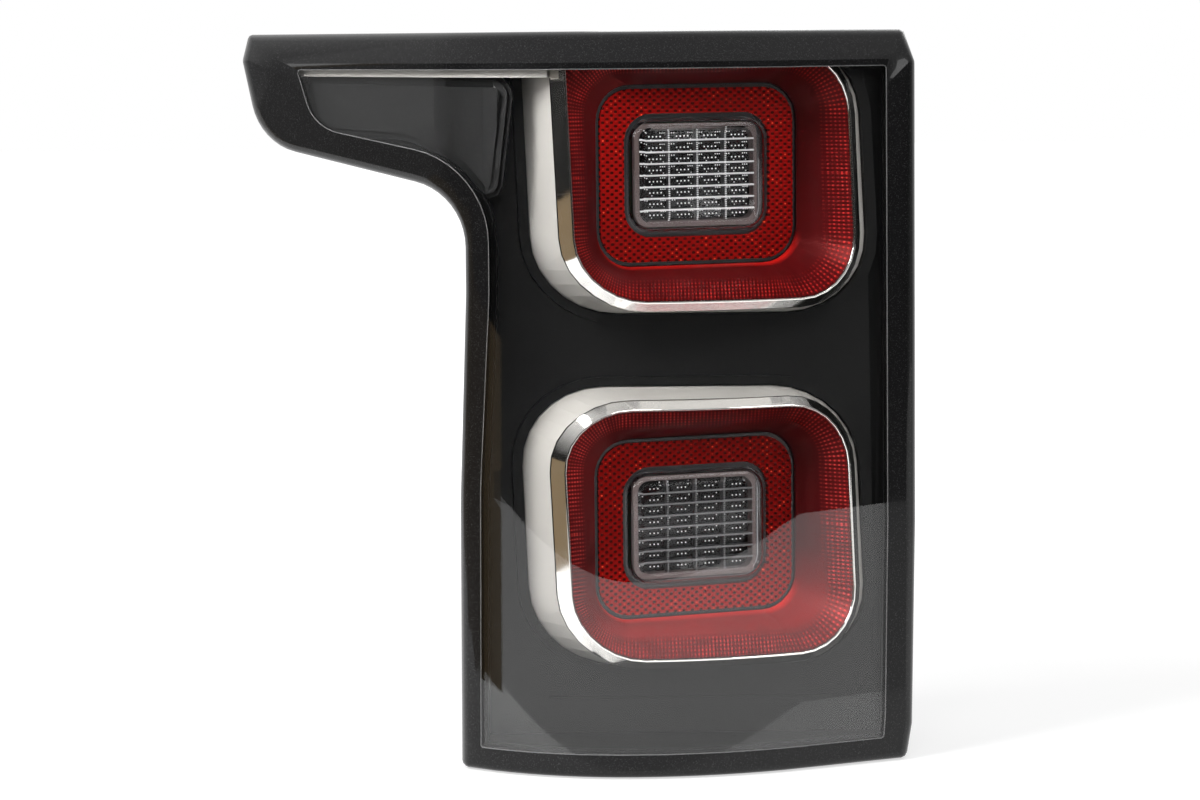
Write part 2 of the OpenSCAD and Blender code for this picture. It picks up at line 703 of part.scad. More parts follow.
module cap(c) {
    color([0.85, 0.85, 0.86, 0.4])
        in_unit(c)
            stack([cap_row(cap_level + 1.5, -cap_rise + 0.9), cap_row(cap_level + 0.9, -cap_rise),
                   cap_row(4.6, -cap_rise), cap_row(2.2, -cap_rise + 0.7), cap_row(0.6, -cap_rise + 2.6),
                   cap_row(0, -cap_rise + 4.6), cap_row(0, 3), cap_row(2, 3), cap_row(2, -cap_rise + 4.8),
                   cap_row(2.6, -cap_rise + 3.8), cap_row(4, -cap_rise + 3), cap_row(6, -cap_rise + 2.6)]);
}
module upper_cap() {
    cap(up_c);
}
module lower_cap() {
    cap(low_c);
}
grid_frame = 2.4;
// Middle of a cell, and the corner of a block of the given size in it
function cell_at(i, j) = [(i + 0.5)*cell_w - grid_w/2, (j + 0.5)*cell_h - grid_h/2];
module in_cells(w, size) {
    for (i = [0:cell_cols - 1])
        for (j = [0:cell_rows - 1])
            translate([cell_at(i, j)[0] - size[0]/2, w, cell_at(i, j)[1] - size[2]/2]) cube(size);
}
module cell_grid(c) {
    color([0.75, 0.75, 0.75])
        in_unit(c) {
            slab(0.2, 5.4)
                difference() {
                    oblong_2d(grid_w + 2*grid_frame, grid_h + 2*grid_frame, cap_r - 6);
                    oblong_2d(grid_w, grid_h, cap_r - 7);
                }
            for (i = [1:cell_cols - 1])
                translate([i*cell_w - grid_w/2 - bar_t/2, 0.8, -grid_h/2 - 0.5])
                    cube([bar_t, 4.6, grid_h + 1]);
            for (j = [1:cell_rows - 1])
                translate([-grid_w/2 - 0.5, 0.2, j*cell_h - grid_h/2 - bar_t/2])
                    cube([grid_w + 1, 5.2, bar_t]);
        }
}
module upper_cell_grid() {
    cell_grid(up_c);
}
module lower_cell_grid() {
    cell_grid(low_c);
}
module optic(c) {
    color([0.2, 0.2, 0.21])
        in_unit(c) {
            slab(7, 8.4) oblong_2d(grid_w + 2*grid_frame, grid_h + 2*grid_frame, cap_r - 6);
            in_cells(5.8, [cell_w*0.8, 1.5, cell_h*0.6]);
        }
}
module upper_optic() {
    optic(up_c);
}
module lower_optic() {
    optic(low_c);
}
board_t = 1.6;
module board(c) {
    color([0.1, 0.3, 0.15])
        in_unit(c)
            slab(sink_w0 - board_t - 0.02, sink_w0 - 0.02)
                difference() {
                    square([grid_w + 8, grid_h + 8], center = true);
                    for (i = [-1, 1])
                        for (j = [-1, 1])
                            translate([i*(grid_w/2 + 5), j*(grid_h/2 + 5)]) square([7, 7], center = true);
                }
}
module upper_board() {
    board(up_c);
}
module lower_board() {
    board(low_c);
}
module leds(c) {
    color([0.95, 0.9, 0.6])
        in_unit(c)
            in_cells(sink_w0 - board_t - 1.1, [3, 1, 2.4]);
}
module upper_leds() {
    leds(up_c);
}
module lower_leds() {
    leds(low_c);
}
module heat_sink(c) {
    fins = 11;
    color([0.7, 0.71, 0.72])
        in_unit(c)
            difference() {
                union() {
                    slab(sink_w0, sink_w0 + sink_t) {
                        square([grid_w + 24, grid_h + 14], center = true);
                        for (i = [-1, 1])
                            for (j = [-1, 1])
                                translate([i*ear_u, j*ear_z]) circle(r = 6);
                        for (j = [-1, 1])
                            translate([0, j*ear_z]) square([2*ear_u, 12], center = true);
                    }
                    for (i = [0:fins - 1])
                        translate([(i/(fins - 1) - 0.5)*(grid_w + 12) - 0.8, 0, -grid_h/2 - 5])
                            translate([0, sink_w0 + sink_t - 0.5, 0]) cube([1.6, 11, grid_h + 10]);
                }
                for (i = [-1, 1])
                    for (j = [-1, 1])
                        rod_w(i*ear_u, j*ear_z, sink_w0 - 1, sink_w0 + sink_t + 1, screw_r + 0.3);
            }
}
module upper_heat_sink() {
    heat_sink(up_c);
}
module lower_heat_sink() {
    heat_sink(low_c);
}
module unit_screws() {
    color([0.6, 0.6, 0.62])
        for (c = [low_c, up_c])
            in_unit(c)
                for (i = [-1, 1])
                    for (j = [-1, 1]) {
                        rod_w(i*ear_u, j*ear_z, sink_w0 - head_h, sink_w0 - 0.02, head_r);
                        rod_w(i*ear_u, j*ear_z, sink_w0 - 1, sink_w0 + sink_t + 15, screw_r - 0.05);
                    }
}

// Bezel
module unit_opening(c, grow) {
    in_unit(c)
        slab(-110, 90) polygon(rim_pts(c, grow));
}
module window_tube(d0, d1) {
    difference() {
        polygon(path(window_flat, d0));
        polygon(path(window_flat, d1));
    }
}
module bezel_slab(d0, d1) {
    difference() {
        intersection() {
            behind(shelf_d + d0);
            behind_plane(d0);
        }
        intersection() {
            behind(shelf_d + d1);
            behind_plane(d1);
        }
    }
}
shelf_grow = 7;
module inner_bezel() {
    opening_grow = chrome_w + surround_draft + 0.4;
    color([0.16, 0.16, 0.17])
        difference() {
            union() {
                // face
                intersection() {
                    bezel_slab(0, bezel_t);
                    along_y(-reach_back, reach_back/2) polygon(path(window_flat, -2.3));
                }
                // side walls up to the lens
                intersection() {
                    difference() {
                        behind(lens_t + 0.8);
                        intersection() {
                            behind(shelf_d + 1);
                            behind_plane(1);
                        }
                    }
                    along_y(-reach_back, reach_back/2) window_tube(-2.3, -0.3);
                }
                // ledge inside the walls
                intersection() {
                    difference() {
                        behind(shelf_d - 5);
                        intersection() {
                            behind(shelf_d + 1);
                            behind_plane(1);
                        }
                    }
                    along_y(-reach_back, reach_back/2)
                        difference() {
                            polygon(path(window_flat, -1));
                            intersection() {
                                polygon(path(window_flat, 2.4));
                                translate([2.8, 0]) polygon(path(window_flat, 2.4));
                            }
                        }
                }
                // shelf behind the wing panel
                intersection() {
                    difference() {
                        behind(shelf_d);
                        intersection() {
                            behind(shelf_d + bezel_t);
                            behind_plane(bezel_t/2);
                        }
                    }
                    along_y(-reach_back, reach_back/2)
                        difference() {
                            intersection() {
                                polygon(path(panel_v, -shelf_grow));
                                polygon(path(window_flat, -1));
                            }
                            polygon(path(panel_v, -shelf_grow + 2));
                        }
                }
                intersection() {
                    shell(shelf_d, shelf_d + bezel_t);
                    along_y(-reach_back, reach_back/2)
                        intersection() {
                            polygon(path(panel_v, -shelf_grow));
                            polygon(path(window_flat, -1));
                        }
                }
                // lips round the light units
                for (c = [low_c, up_c])
                    intersection() {
                        difference() {
                            behind_plane(-lip_h);
                            behind_plane(1);
                        }
                        unit_opening(c, opening_grow + lip_w);
                        along_y(-reach_back, reach_back/2) polygon(path(window_flat, 1));
                    }
            }
            for (c = [low_c, up_c])
                unit_opening(c, opening_grow);
            // seat of the wing panel
            intersection() {
                shell(5, shelf_d - 0.05);
                along_y(-reach_back, reach_back) polygon(path(panel_v, -4.5));
            }
            // room for the silver strip over the wing
            intersection() {
                difference() {
                    behind(5);
                    behind(12.4);
                }
                along_y(-reach_back, reach_back/2)
                    translate([x_tip + border_tip - 8, z_win - 5.6]) square([x_l - x_tip + 12, 12]);
            }
            intersection() {
                shell(5, 21.4);
                along_y(-reach_back, reach_back/2)
                    translate([x_l + 36.2, z_win - 5.6]) square([9.6, 12]);
            }
            // fine groove below the lower unit
            intersection() {
                difference() {
                    behind_plane(-1);
                    behind_plane(0.8);
                }
                along_y(-reach_back, reach_back/2)
                    translate([unit_x - bowl_w/2 - 5.5, z_bot + 37]) square([bowl_w + 3, 1.1]);
            }
        }
}
module wing_panel() {
    color([0.2, 0.2, 0.21])
        intersection() {
            along_y(-reach_back, reach_back) polygon(path(panel_v, -4.2));
            union() {
                shell(shelf_d - 1.8, shelf_d - 0.15);
                intersection() {
                    shell(shelf_d - 3.4, shelf_d - 0.15);
                    along_y(-reach_back, reach_back) polygon(path(panel_v));
                }
            }
        }
}

// Control unit with its connector on the back: how far its case stands in from the flange, and its wall
case_side = 10;
case_level = 3;
case_wall = 2;
module case_block(d, y, t) {
    translate([driver_x - driver_w/2 + case_side + d, y, driver_z - driver_h/2 + case_level + d])
        cube([driver_w - 2*case_side - 2*d, t, driver_h - 2*case_level - 2*d]);
}
module driver_module() {
    color([0.18, 0.18, 0.19])
        difference() {
            union() {
                translate([driver_x - driver_w/2, -floor_gap + 1, driver_z - driver_h/2])
                    cube([driver_w, 3, driver_h]);
                case_block(0, -floor_gap + 1, driver_t - 2);
            }
            case_block(case_wall, -floor_gap + 3, driver_t);
            driver_corners()
                rod_y(0, 0, -floor_gap, 3, screw_r + 0.3);
        }
}
cover_y = driver_t - floor_gap - 1;
socket_z = driver_z - driver_h/2 + 16;
module driver_cover() {
    color([0.7, 0.71, 0.72])
        difference() {
            union() {
                case_block(0, cover_y + 0.1, 2);
                for (i = [0:6])
                    translate([driver_x - driver_w/2 + 16 + i*(driver_w - 34)/6, cover_y + 1.6, driver_z])
                        cube([2, 4, driver_h/2 - 6]);
            }
            translate([driver_x - socket_w/2 - 3.4, cover_y - 1, socket_z - socket_h/2 - 3.4])
                cube([socket_w + 6.8, 5, socket_h + 6.8]);
        }
}
module driver_seal() {
    color([0.1, 0.1, 0.1])
        along_y(-floor_gap + 0.05, -floor_gap + 0.95)
            translate([driver_x, driver_z])
                difference() {
                    square([driver_w - 2*case_side, driver_h - 4], center = true);
                    square([driver_w - 2*case_side - 4*case_wall, driver_h - 6*case_wall], center = true);
                }
}
module driver_screws() {
    color([0.6, 0.6, 0.62])
        driver_corners() {
            rod_y(0, 0, -floor_gap + 4.02, -floor_gap + 4 + head_h, head_r);
            rod_y(0, 0, -floor_gap - wall - 5, -floor_gap + 5, screw_r - 0.05);
        }
}
module connector_socket() {
    color([0.08, 0.08, 0.085])
        difference() {
            union() {
                translate([driver_x - socket_w/2 - 2, cover_y + 0.1, socket_z - socket_h/2 - 2])
                    cube([socket_w + 4, socket_d, socket_h + 4]);
                translate([driver_x - socket_w/2 - 3.2, cover_y - 2.4, socket_z - socket_h/2 - 3.2])
                    cube([socket_w + 6.4, 4.4, socket_h + 6.4]);
                translate([driver_x - 4, cover_y + 4, socket_z + socket_h/2 + 1])
                    cube([8, 6, 3.2]);
            }
            translate([driver_x - socket_w/2, cover_y + 2.1, socket_z - socket_h/2])
                cube([socket_w, socket_d + 2, socket_h]);
            for (i = [0:5])
                translate([driver_x - 12.5 + i*5 - 0.6, cover_y - 4, socket_z - 0.6])
                    cube([1.2, 8, 1.2]);
        }
}
module socket_terminals() {
    color([0.8, 0.65, 0.3])
        for (i = [0:5])
            translate([driver_x - 12.5 + i*5 - 0.5, cover_y - 5, socket_z - 0.5])
                cube([1, 12, 1]);
}

// Small parts on the back
module vent_caps() {
    color([0.09, 0.09, 0.09])
        for (v = vents)
            difference() {
                rod_y(v[0], v[1], -floor_gap + rib_h + 0.5, -floor_gap + 11, vent_r + 2.5);
                rod_y(v[0], v[1], -floor_gap, -floor_gap + 7.2, vent_r + 0.15);
                translate([v[0] - 1.5, -floor_gap, v[1] - 9]) cube([3, rib_h + 2, 2*vent_r + 6]);
            }
}
module fixing_studs() {
    color([0.72, 0.72, 0.7])
        for (z = stud_z) {
            peg_y(0, z, -floor_gap - wall - 8, stud_l, stud_r, 1.5);
            rod_y(0, z, -2.5, -0.1, stud_r + 2.4);
        }
}
module stud_gaskets() {
    color([0.14, 0.14, 0.14])
        for (z = stud_z)
            difference() {
                rod_y(0, z, -1.15, 1.5, boss_r + 4);
                rod_y(0, z, -2, 2, boss_r + 0.2);
            }
}
module locating_pin() {
    color([0.75, 0.75, 0.72])
        union() {
            peg_y(pin_x, pin_z, 0.1, pin_l, pin_r, 3);
            rod_y(pin_x, pin_z, -14, 0.2, pin_r - 1.05);
        }
}
module wing_pin() {
    y0 = wing_floor_y(wing_pin_x) + 12;
    color([0.75, 0.75, 0.72]) {
        peg_y(wing_pin_x, wing_pin_z, y0 + 0.1, y0 + pin_l, pin_r, 3);
        rod_y(wing_pin_x, wing_pin_z, y0 - 11, y0 + 0.2, pin_r - 1.05);
    }
}
module bumpers() {
    color([0.1, 0.1, 0.1])
        for (b = bumper_at)
            rod_y(b[0], b[1], -1.4, 3, 6.5);
}

lens_window();
lens_border();
lens_seal();
housing();
inner_bezel();
wing_panel();
upper_surround();
lower_surround();
upper_chrome_rim();
lower_chrome_rim();
upper_bowl();
lower_bowl();
upper_carrier();
lower_carrier();
upper_reflex_ring();
lower_reflex_ring();
upper_cap();
lower_cap();
upper_cell_grid();
lower_cell_grid();
upper_optic();
lower_optic();
upper_board();
lower_board();
upper_leds();
lower_leds();
upper_heat_sink();
lower_heat_sink();
unit_screws();
driver_module();
driver_cover();
driver_seal();
driver_screws();
connector_socket();
socket_terminals();
vent_caps();
fixing_studs();
stud_gaskets();
locating_pin();
wing_pin();
bumpers();
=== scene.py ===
from math import pi, radians, tan

import bmesh
import bpy
from mathutils import Euler, Matrix, Vector


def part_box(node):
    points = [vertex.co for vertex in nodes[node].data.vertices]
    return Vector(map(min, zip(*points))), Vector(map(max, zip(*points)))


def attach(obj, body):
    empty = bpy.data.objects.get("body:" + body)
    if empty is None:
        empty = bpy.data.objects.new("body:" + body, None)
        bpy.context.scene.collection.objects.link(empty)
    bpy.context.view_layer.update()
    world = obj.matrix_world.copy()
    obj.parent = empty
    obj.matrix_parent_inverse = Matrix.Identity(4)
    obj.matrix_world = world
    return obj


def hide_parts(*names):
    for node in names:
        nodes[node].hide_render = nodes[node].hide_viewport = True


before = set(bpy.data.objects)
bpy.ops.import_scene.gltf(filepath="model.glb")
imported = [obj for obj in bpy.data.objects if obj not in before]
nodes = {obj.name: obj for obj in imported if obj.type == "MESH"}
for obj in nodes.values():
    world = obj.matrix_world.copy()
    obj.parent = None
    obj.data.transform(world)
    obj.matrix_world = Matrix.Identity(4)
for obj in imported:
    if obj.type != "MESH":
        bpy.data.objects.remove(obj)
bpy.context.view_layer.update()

scene = bpy.context.scene

# All sizes are in metres. The middle of each reflex ring's face, and how far the units turn outward
UNITS = {"lower": Vector((0.004, -0.08505, -0.0765)), "upper": Vector((0.0068, -0.06334, 0.13))}
AIM = radians(21)

# The cells behind each cap, and the width and height of one
CELL_COLUMNS, CELL_ROWS = 4, 8
CELL_W, CELL_H = 0.01839, 0.007

# Rounded oblongs on the units: half the width, half the height and the corner radius
BOWL_RIM = (0.08248, 0.0715, 0.036)
REFLEX_EDGE = (0.06148, 0.051, 0.019)
CELL_FIELD = (0.0368, 0.0280, 0.007)

# Patterns of the red plastics: the depth of a bowl's outer band, the pitch of its lines and of the dashes
# they are broken into, and the pitches of a reflex ring's prisms
BAND = 0.009
LINE_PITCH, DASH_PITCH = 0.0023, 0.0018
PRISM_W, PRISM_H = 0.0054, 0.0042

# The end of the wing's silver strip, its low edge and its back, and how far it is drawn out
STRIP_END, STRIP_LOW, STRIP_BACK = -0.0886, 0.188, -0.07
STRIP_MORE = Vector((0.008, -0.0022, 0))

# Bars and beads between the cells: depth and height of a bar, size of a bead, and the edges cut off them
BAR_DEPTH, BAR_H = 0.0009, 0.0011
BEAD = (0.0011, 0.0008, 0.0007)
BEADS_PER_CELL = 6
CUT = 0.0002
# How far the light dots lie behind the face of the cells
DOT_DEPTH = 0.0056

# The bright seam: its width, how far it lies under the face, and its thickness
SEAM_W, SEAM_UNDER, SEAM_THICK = 0.0006, 0.0003, 0.0004

# Corners closer than this are one, faces narrower than this are slivers, and smaller bends are flat
SAME_CORNER, SLIVER, FLAT = 5e-6, 2e-5, radians(0.4)

# The floor, just under the lamp's foot
FLOOR_Z = -0.2157


def make_camera():
    """A camera at the photograph's viewing angle."""
    data = bpy.data.cameras.new("camera")
    data.sensor_width = 36
    data.lens = 104.58
    data.clip_start, data.clip_end = 0.05, 30
    camera = bpy.data.objects.new("camera", data)
    camera.location = (-0.052, -2.130, 0.215)
    downward, roll = 6.04, -0.6
    turn = Euler((radians(90 - downward), 0, 0)).to_matrix() @ Matrix.Rotation(radians(roll), 3, "Z")
    camera.rotation_euler = turn.to_euler()
    scene.collection.objects.link(camera)
    scene.camera = camera
    scene.view_settings.view_transform = "Standard"


# Node trees
def socket_name(key):
    """The label of an input, such as Base Color for base_color."""
    return key.replace("_", " ").title().replace("Ior", "IOR")


def rgba(value):
    """A colour from three numbers, or a grey from one."""
    return (value, value, value, 1) if isinstance(value, (int, float)) else tuple(value) + (1,)


class Shading:
    """The node tree of a material or of the world. Its parts hand their output sockets to each other."""

    def __init__(self, owner, output="OutputMaterial"):
        owner.use_nodes = True
        self.tree = owner.node_tree
        self.tree.nodes.clear()
        self.out = self.node(output)

    def node(self, kind, **inputs):
        made = self.tree.nodes.new("ShaderNode" + kind)
        for key, value in inputs.items():
            made.inputs[socket_name(key)].default_value = value
        return made

    def link(self, source, node, name):
        self.tree.links.new(source, node.inputs[name])

    def math(self, operation, *values):
        made = self.node("Math")
        made.operation = operation
        for slot, value in enumerate(values):
            if isinstance(value, (int, float)):
                made.inputs[slot].default_value = value
            else:
                self.link(value, made, slot)
        return made.outputs["Value"]

    def product(self, first, *others):
        for other in others:
            first = self.math("MULTIPLY", first, other)
        return first

    def split(self, vector):
        parts = self.node("SeparateXYZ")
        self.link(vector, parts, "Vector")
        return parts.outputs["X"], parts.outputs["Y"], parts.outputs["Z"]

    def carry(self, source, low, high, to_low, to_high):
        """A value carried from one range to another and held at the ends."""
        made = self.node("MapRange", from_min=low, from_max=high, to_min=to_low, to_max=to_high)
        self.link(source, made, "Value")
        return made.outputs["Result"]

    def either(self, mask, first, second):
        """The first shader where the mask is 0 and the second where it is 1."""
        made = self.node("MixShader")
        for slot, source in enumerate((mask, first, second)):
            self.link(source, made, slot)
        return made.outputs["Shader"]


class Finish(Shading):
    """The material of a piece: one shader and the patterns that feed it."""

    def __init__(self, name, **settings):
        self.material = bpy.data.materials.new(name)
        super().__init__(self.material)
        self.shader = self.node("BsdfPrincipled", **settings)
        self.link(self.shader.outputs["BSDF"], self.out, "Surface")

    def coords(self, turn=0.0, centre=(0, 0, 0)):
        """Places on the piece, counted from a centre and turned about the upright."""
        moved = self.node("Mapping", location=centre, rotation=(0, 0, turn))
        moved.vector_type = "TEXTURE"
        self.link(self.node("TexCoord").outputs["Object"], moved, "Vector")
        return moved.outputs["Vector"]

    def noise(self, place, scale, detail=2.0):
        made = self.node("TexNoise", scale=scale, detail=detail)
        self.link(place, made, "Vector")
        return made.outputs["Fac"]

    def spots(self, place, scale):
        """How far the nearest of many scattered spots is."""
        made = self.node("TexVoronoi", scale=scale)
        self.link(place, made, "Vector")
        return made.outputs["Distance"]

    def ramp(self, source, *stops):
        """Colours or greys for values; each stop is a value and its colour."""
        made = self.node("ValToRGB")
        first, last = made.color_ramp.elements
        first.position, first.color = stops[0][0], rgba(stops[0][1])
        last.position, last.color = stops[-1][0], rgba(stops[-1][1])
        for position, colour in stops[1:-1]:
            made.color_ramp.elements.new(position).color = rgba(colour)
        self.link(source, made, "Fac")
        return made.outputs["Color"]

    def blend(self, base, colour, mask):
        """A colour laid over another where the mask is 1."""
        made = self.node("Mix")
        made.data_type = "RGBA"
        self.link(mask, made, 0)
        self.link(base, made, 6)
        made.inputs[7].default_value = rgba(colour)
        return made.outputs[2]

    def to(self, source, name):
        self.link(source, self.shader, name)

    def bump(self, source, strength, distance):
        made = self.node("Bump", strength=strength, distance=distance)
        self.link(source, made, "Height")
        self.to(made.outputs["Normal"], "Normal")


# Finishes
def border_black():
    f = Finish("border_black", roughness=0.28, specular_ior_level=0.12,
               coat_weight=0.35, coat_roughness=0.03)
    place = f.coords()
    # painted glints: a fine sparkle painted into the colour, which gathers in small clouds
    painted_glints = f.ramp(f.spots(place, 2600), (0.0, 1.0), (0.2, 0.5), (0.34, 0.0))
    clouds = f.ramp(f.noise(place, 900), (0.48, 0.0), (0.62, 1.0))
    colour = f.ramp(f.product(painted_glints, clouds), (0.0, (0.004, 0.004, 0.0043)), (1.0, 0.16))
    f.to(colour, "Base Color")
    f.bump(f.noise(place, 60, 3), 0.03, 0.0004)
    return f


def clear_plastic(name, tint=(1, 1, 1), rough=0.0, ior=1.47):
    """Clear to look through, and without a shadow of its own."""
    f = Finish(name, base_color=rgba(tint), roughness=rough, transmission_weight=1.0, ior=ior)
    shadow = f.node("LightPath").outputs["Is Shadow Ray"]
    through = f.node("BsdfTransparent", color=rgba(tint)).outputs["BSDF"]
    f.link(f.either(shadow, f.shader.outputs["BSDF"], through), f.out, "Surface")
    return f


def bezel_grey():
    f = Finish("bezel_grey", specular_ior_level=0.2)
    place = f.coords()
    grain = f.noise(place, 1400, 3)
    wide = f.noise(place, 14, 3)
    f.to(f.ramp(wide, (0.3, (0.003, 0.0031, 0.003)), (0.7, (0.005, 0.0051, 0.0049))), "Base Color")
    f.to(f.ramp(grain, (0.3, 0.3), (0.7, 0.42)), "Roughness")
    f.bump(grain, 0.12, 0.00012)
    return f


def wing_satin():
    f = Finish("wing_satin", roughness=0.45, specular_ior_level=0.16)
    grain = f.noise(f.coords(), 1800)
    f.to(f.ramp(grain, (0.3, (0.0065, 0.0067, 0.0067)), (0.7, (0.0095, 0.0098, 0.0098))), "Base Color")
    f.bump(grain, 0.1, 0.0001)
    return f


def satin_silver():
    f = Finish("satin_silver", metallic=0.12)
    place = f.coords()
    grain = f.noise(place, 3200)
    wide = f.noise(place, 22)
    f.to(f.ramp(wide, (0.3, (0.47, 0.452, 0.42)), (0.7, (0.5, 0.482, 0.45))), "Base Color")
    f.to(f.ramp(grain, (0.3, 0.34), (0.7, 0.44)), "Roughness")
    f.bump(grain, 0.08, 0.00008)
    return f


def chrome():
    f = Finish("chrome", metallic=1.0, base_color=(0.93, 0.91, 0.87, 1))
    haze = f.noise(f.coords(), 90, 3)
    f.to(f.ramp(haze, (0.3, 0.03), (0.75, 0.09)), "Roughness")
    return f


def past_flats(f, x, z, oblong):
    """How far a point lies past a rounded oblong's flats: across, upright, and both together."""
    half_w, half_h, corner = oblong
    over = []
    for way, flat in ((x, half_w - corner), (z, half_h - corner)):
        over.append(f.math("MAXIMUM", f.math("SUBTRACT", f.math("ABSOLUTE", way), flat), 0.0))
    squares = [f.math("POWER", way, 2) for way in over]
    return over[0], over[1], f.math("SQRT", f.math("ADD", *squares))


def rim_coords(f, x, y, z):
    """Two numbers for a point of a bowl: its way along the rim from a side's middle, and in from the rim."""
    half_w, half_h, corner = BOWL_RIM
    inset = f.math("SUBTRACT", corner, past_flats(f, x, z, BOWL_RIM)[2])
    # the way along is taken square to the lamp's front, so that the lines above and below stand upright
    across = f.math("SUBTRACT", x, f.product(y, tan(AIM)))
    over_x, over_z, _ = past_flats(f, across, z, BOWL_RIM)
    bend = f.product(f.math("ARCTAN2", over_z, over_x), corner)
    level = f.math("MINIMUM", f.math("ABSOLUTE", across), half_w - corner)
    upright = f.math("MINIMUM", f.math("ABSOLUTE", z), half_h - corner)
    return f.math("SUBTRACT", f.math("ADD", upright, bend), level), inset


def wave(f, source, pitch):
    return f.math("COSINE", f.product(source, 2 * pi / pitch))


def red_bowl(unit):
    f = Finish("red_bowl_" + unit, roughness=0.3, specular_tint=(0.9, 0.12, 0.1, 1))
    place = f.coords(AIM, UNITS[unit])
    x, y, z = f.split(place)
    below = f.product(z, -1.0)
    along, inset = rim_coords(f, x, y, z)
    # the outer band has fine lines square to the rim, each broken into small dashes
    lines = f.ramp(wave(f, along, LINE_PITCH), (0.0, 0.0), (0.75, 1.0))
    dashes = f.ramp(wave(f, inset, DASH_PITCH), (0.0, 0.2), (0.6, 1.0))
    outer = f.ramp(inset, (BAND - 0.0002, 1.0), (BAND + 0.0002, 0.0))
    hatch = f.product(lines, dashes, outer)
    uneven = f.ramp(f.noise(place, 110), (0.35, 0.25), (0.65, 1.0))
    base = f.ramp(f.noise(place, 35, 3), (0.25, (0.036, 0.0015, 0.002)), (0.75, (0.055, 0.0022, 0.003)))
    # painted light: the lower unit's low side is painted a brighter red, the more so within the band
    lit = f.ramp(below, (0.015, 0.0), (0.056, 1.0 if unit == "lower" else 0.1))
    within = f.ramp(inset, (BAND - 0.0006, 0.25), (BAND + 0.0004, 1.0))
    lit_ground = f.blend(base, (0.19, 0.005, 0.005), f.product(lit, within))
    # painted light: the lower unit's lines are painted brighter than the upper unit's
    line_red_with_painted_light = (0.62, 0.04, 0.035) if unit == "lower" else (0.5, 0.02, 0.016)
    lined = f.blend(lit_ground, line_red_with_painted_light, f.product(hatch, uneven))
    # painted highlight: the lip next to the reflex ring is painted a bright red along its lower side
    ring_corner = REFLEX_EDGE[2]
    beside = past_flats(f, x, z, REFLEX_EDGE)[2]
    lip_highlight = f.ramp(beside, (ring_corner + 0.0020, 1.0), (ring_corner + 0.0024, 0.0))
    low = f.ramp(below, (0.036, 0.0), (0.050, 1.0))
    f.to(f.blend(lined, (1.0, 0.016, 0.01), f.product(lip_highlight, low)), "Base Color")
    f.bump(hatch, 0.4, 0.0002)
    return f


def red_reflex(unit):
    f = Finish("red_reflex_" + unit, roughness=0.18, specular_tint=(1, 0.06, 0.04, 1))
    place = f.coords(AIM, UNITS[unit])
    x, _, z = f.split(place)
    # small prisms in staggered rows, with dark lozenges between them
    prisms = f.product(wave(f, x, PRISM_W), wave(f, z, PRISM_H))
    lozenges = f.product(prisms, -1.0)
    red = f.ramp(lozenges, (0.1, (0.3, 0.002, 0.0015)), (0.55, (0.03, 0.001, 0.001)))
    # painted shade: the upper ring is painted darker at its foot, the lower one at its top
    shade = {"upper": ((0.0, 0.18), (0.045, 0.36)), "lower": ((0.01, 0.52), (0.045, 0.0))}[unit]
    shaded = f.blend(red, 0.0, f.ramp(f.product(z, -1.0), *shade))
    # painted highlight: here and there a prism is painted with a bright glint
    glint_places = f.ramp(f.noise(place, 120), (0.55, 0.0), (0.68, 1.0))
    glint_tips = f.ramp(prisms, (0.72, 0.0), (0.9, 1.0))
    f.to(f.blend(shaded, (1.0, 0.09, 0.03), f.product(glint_tips, glint_places)), "Base Color")
    f.bump(prisms, 0.5, 0.0004)
    return f


def cell_plastic(unit):
    """Dark cells in a lighter frame, which carries a painted reflection: a little red from the ring around
    it.
    """
    f = Finish("cell_plastic_" + unit, roughness=0.4)
    place = f.coords(AIM, UNITS[unit])
    x, _, z = f.split(place)
    corner = CELL_FIELD[2]
    outside = f.ramp(past_flats(f, x, z, CELL_FIELD)[2], (corner + 0.0001, 0.0), (corner + 0.0003, 1.0))
    dark = f.ramp(f.noise(place, 20, 3), (0.3, (0.042, 0.042, 0.044)), (0.7, (0.05, 0.05, 0.052)))
    # painted reflection: the frame is tinted with the red of the ring; the lower unit's frame is lighter
    frame_colour_and_reflection = (0.105, 0.073, 0.067) if unit == "upper" else (0.14, 0.105, 0.098)
    f.to(f.blend(dark, frame_colour_and_reflection, outside), "Base Color")
    return f


def moulded(name, colour, rough=0.5, grain_size=1500, strength=0.2, **settings):
    """Plain moulded plastic with a fine grain and a slow change of shade."""
    f = Finish(name, **settings)
    place = f.coords()
    grain = f.noise(place, grain_size, 3)
    wide = f.noise(place, 20, 3)
    darker = tuple(part * 0.85 for part in colour)
    f.to(f.ramp(wide, (0.3, darker), (0.7, colour)), "Base Color")
    f.to(f.ramp(grain, (0.3, rough - 0.08), (0.7, rough + 0.08)), "Roughness")
    f.bump(grain, strength, 0.00015)
    return f


def metal(name, colour, rough=0.3, grain_size=900):
    return moulded(name, colour, rough, grain_size, 0.15, metallic=1.0)


# Pieces
def paint(finish, *names):
    """Gives solids that show as they are their material."""
    for name in names:
        data = nodes[name].data
        data.materials.clear()
        data.materials.append(finish.material)


def merged_copy(node):
    """A node's mesh with one face for each flat stretch, without slivers that spoil smooth shading."""
    bm = bmesh.new()
    bm.from_mesh(nodes[node].data)
    bmesh.ops.remove_doubles(bm, verts=bm.verts, dist=SAME_CORNER)
    bmesh.ops.dissolve_degenerate(bm, edges=bm.edges, dist=SLIVER)
    bmesh.ops.dissolve_limit(bm, angle_limit=FLAT, verts=bm.verts, edges=bm.edges)
    return bm


